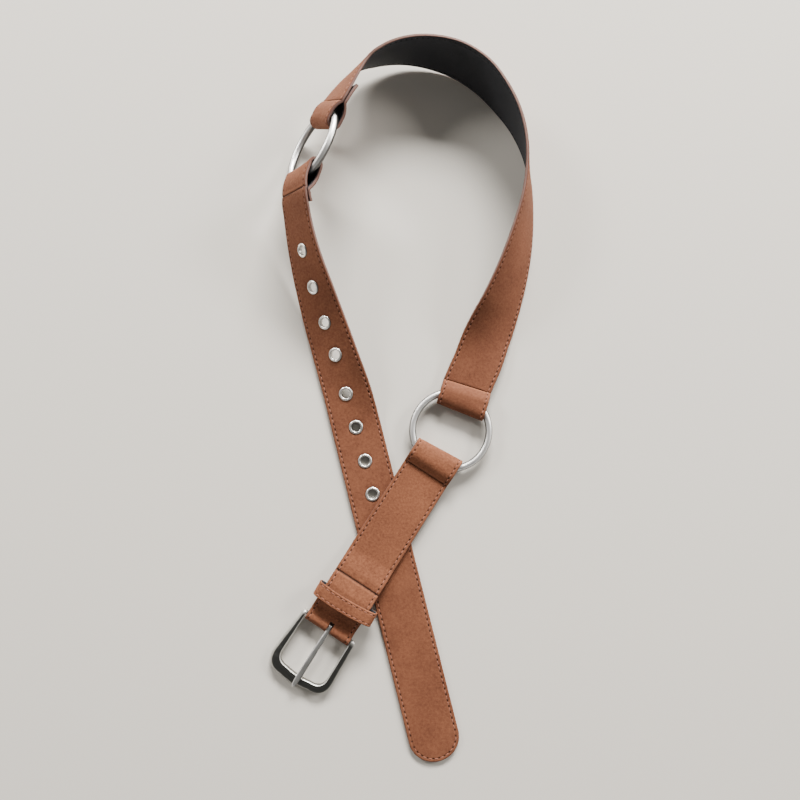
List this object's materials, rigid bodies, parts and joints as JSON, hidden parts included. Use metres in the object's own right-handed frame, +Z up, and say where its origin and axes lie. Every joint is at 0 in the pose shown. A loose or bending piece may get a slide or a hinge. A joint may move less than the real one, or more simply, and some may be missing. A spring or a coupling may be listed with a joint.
{
  "type": "ring belt",
  "caption": "Leather belt of three straps joined by plain metal rings, with a prong buckle, a keeper and an eyeleted end, lying open in a loop.",
  "frame": {"origin": "on the surface the belt lies on, under the middle of its bounding box", "axes": "+Z up from that surface, +Y along the loop from the buckle and the tip to the top of the loop, +X to the right seen from above"},
  "size_m": [0.1856, 0.5014, 0.0486],
  "materials": {
    "tan_leather": "matt tan nubuck",
    "black_lining": "matt black lining",
    "satin_silver": "satin silver plating",
    "gunmetal": "dark gunmetal plating, worn bright at its edges",
    "bright_nickel": "bright nickel"
  },
  "bodies": {
    "belt": {"keeper": "tan_leather", "buckle_strap_face": "tan_leather", "buckle_strap_lining": "black_lining", "middle_strap_face": "tan_leather", "middle_strap_lining": "black_lining", "hole_strap_face": "tan_leather", "hole_strap_lining": "black_lining", "eyelet_1": "bright_nickel", "eyelet_2": "bright_nickel", "eyelet_3": "bright_nickel", "eyelet_4": "bright_nickel", "eyelet_5": "bright_nickel", "eyelet_6": "bright_nickel", "eyelet_7": "bright_nickel", "eyelet_8": "bright_nickel", "ring_front": "satin_silver", "ring_back": "satin_silver"},
    "frame": {"buckle_frame": "gunmetal"},
    "prong": {"buckle_prong": "satin_silver"}
  },
  "joints": [
    {"name": "frame_hinge", "type": "hinge", "parent": "belt", "child": "frame", "pos_m": [-0.05456, -0.16013, 0.0039], "axis": [-0.8427, 0.5384, 0], "range_deg": [0, 50]},
    {"name": "prong_hinge", "type": "hinge", "parent": "frame", "child": "prong", "pos_m": [-0.05456, -0.16013, 0.0039], "axis": [-0.8427, 0.5384, 0], "range_deg": [0, 50]}
  ]
}
